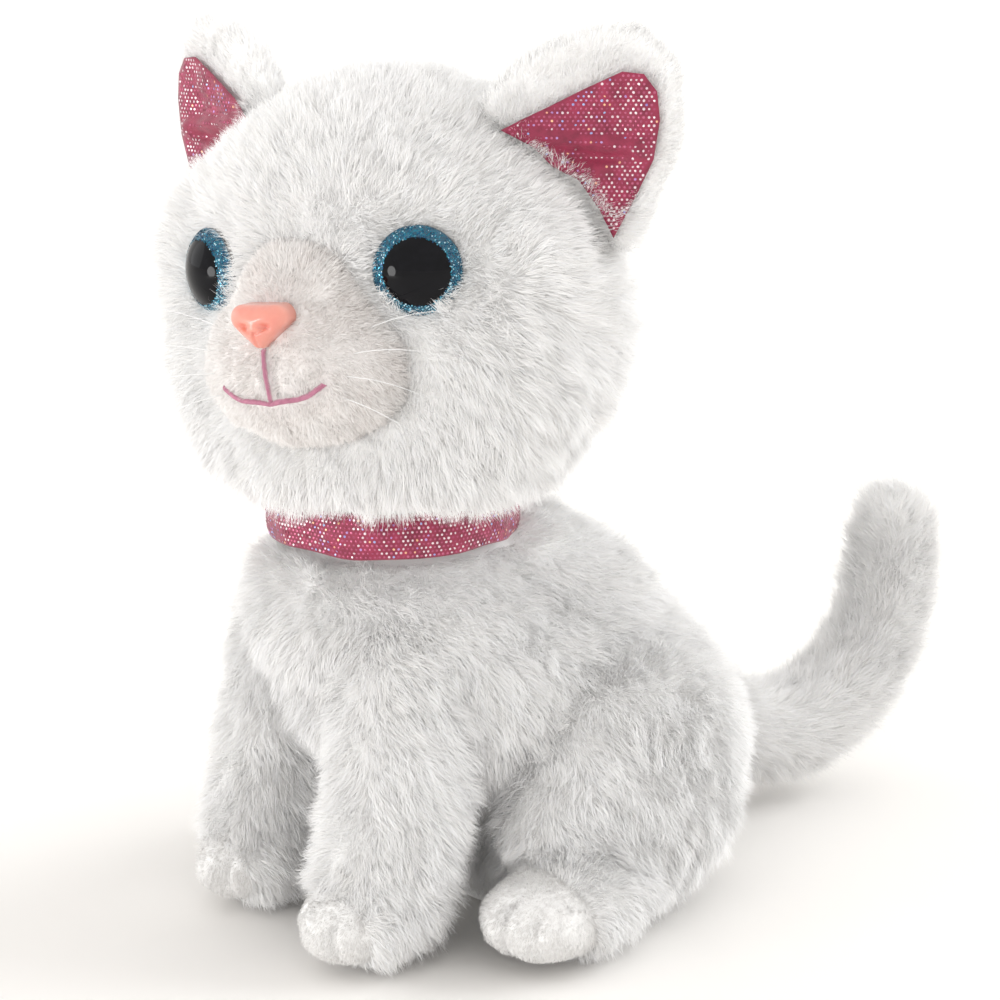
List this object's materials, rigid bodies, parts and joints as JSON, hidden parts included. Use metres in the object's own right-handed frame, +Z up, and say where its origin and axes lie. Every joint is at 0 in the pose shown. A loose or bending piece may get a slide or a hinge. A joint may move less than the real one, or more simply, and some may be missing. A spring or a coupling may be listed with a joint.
{
  "type": "interactive plush pet",
  "caption": "Sitting white plush kitten with glitter eyes, pink foil ear linings and collar; a motor turns the head, another wags the upright tail, and it answers to two press buttons.",
  "frame": {"origin": "on the floor, under the centre of the part's bounding box", "axes": "+Z up; -Y is the way the body faces; +X is the kitten's left"},
  "size_m": [0.1365, 0.2616, 0.226],
  "materials": {
    "white_plush": "matte",
    "short_plush": "matte",
    "pink_foil_cloth": "satin",
    "eye_plastic": "gloss",
    "nose_plastic": "gloss",
    "mauve_thread": "satin",
    "whisker_nylon": "satin",
    "case_plastic": "satin",
    "gear_plastic": "satin",
    "dark_plastic": "satin",
    "bright_steel": "satin",
    "board_green": "satin",
    "cell_wrap": "gloss",
    "wire_red": "satin"
  },
  "bodies": {
    "torso": {"torso_plush": "white_plush", "front_leg_left": "white_plush", "front_leg_right": "white_plush", "hind_leg_left": "white_plush", "hind_leg_right": "white_plush", "collar": "pink_foil_cloth", "case_base": "case_plastic", "case_cover": "case_plastic", "gear_cover": "case_plastic", "battery_cells": "cell_wrap", "contact_springs": "bright_steel", "contact_plates": "bright_steel", "case_screws": "bright_steel", "gear_cover_screws": "bright_steel", "circuit_board": "board_green", "board_components": "dark_plastic", "board_screws": "bright_steel", "speaker_frame": "dark_plastic", "speaker_magnet": "bright_steel", "speaker_cone": "dark_plastic", "head_motor": "bright_steel", "tail_motor": "bright_steel", "tail_axle": "bright_steel", "power_switch_body": "dark_plastic", "back_switch": "dark_plastic", "wire_loom": "wire_red"},
    "head": {"head_plush": "white_plush", "muzzle_plush": "short_plush", "ear_left": "white_plush", "ear_right": "white_plush", "ear_lining_left": "pink_foil_cloth", "ear_lining_right": "pink_foil_cloth", "eye_left": "eye_plastic", "eye_right": "eye_plastic", "eye_washers": "case_plastic", "nose": "nose_plastic", "nose_washer": "case_plastic", "mouth_stitch": "mauve_thread", "whiskers": "whisker_nylon", "neck_shaft": "bright_steel", "neck_gear": "gear_plastic", "skull_base": "case_plastic", "skull_dome": "case_plastic", "skull_screws": "bright_steel", "head_switch": "dark_plastic", "head_wire": "wire_red"},
    "tail": {"tail_plush": "white_plush", "tail_wire": "bright_steel", "tail_gear": "gear_plastic", "tail_arm": "gear_plastic"},
    "head_pinion": {"head_pinion": "gear_plastic"},
    "tail_pinion": {"tail_pinion": "gear_plastic"},
    "power_slider": {"power_slider": "dark_plastic"},
    "battery_door": {"battery_door": "case_plastic", "door_screw": "bright_steel"},
    "back_button": {"back_button": "gear_plastic"},
    "head_button": {"head_button": "gear_plastic"}
  },
  "joints": [
    {"name": "head_turn", "type": "hinge", "parent": "torso", "child": "head", "pos_m": [0.0032, -0.0644, 0.09], "axis": [0, 0, 1], "range_deg": [-53, 12]},
    {"name": "head_pinion_spin", "type": "hinge", "parent": "torso", "child": "head_pinion", "pos_m": [0.0032, -0.0419, 0.057], "axis": [0, 0, 1], "range_deg": [-50, 214]},
    {"name": "tail_wag", "type": "hinge", "parent": "torso", "child": "tail", "pos_m": [0.0032, 0.0136, 0.034], "axis": [0, 0, 1], "range_deg": [-25, 25]},
    {"name": "tail_pinion_spin", "type": "hinge", "parent": "torso", "child": "tail_pinion", "pos_m": [-0.0098, 0.00996, 0.032], "axis": [0, 0, 1], "range_deg": [-52, 52]},
    {"name": "power_slide", "type": "slide", "parent": "torso", "child": "power_slider", "axis": [0, 1, 0], "range_m": [0, 0.004]},
    {"name": "battery_door_release", "type": "slide", "parent": "torso", "child": "battery_door", "axis": [0, 0, -1], "range_m": [0, 0.012]},
    {"name": "back_button_press", "type": "slide", "parent": "torso", "child": "back_button", "axis": [0, 0, -1], "range_m": [0, 0.0012], "stiffness_N_per_m": 150},
    {"name": "head_button_press", "type": "slide", "parent": "head", "child": "head_button", "axis": [0, 0, -1], "range_m": [0, 0.0012], "stiffness_N_per_m": 150}
  ],
  "couplings": [
    {"joint": "head_pinion_spin", "follows": "head_turn", "ratio": -4},
    {"joint": "tail_pinion_spin", "follows": "tail_wag", "ratio": -2}
  ]
}
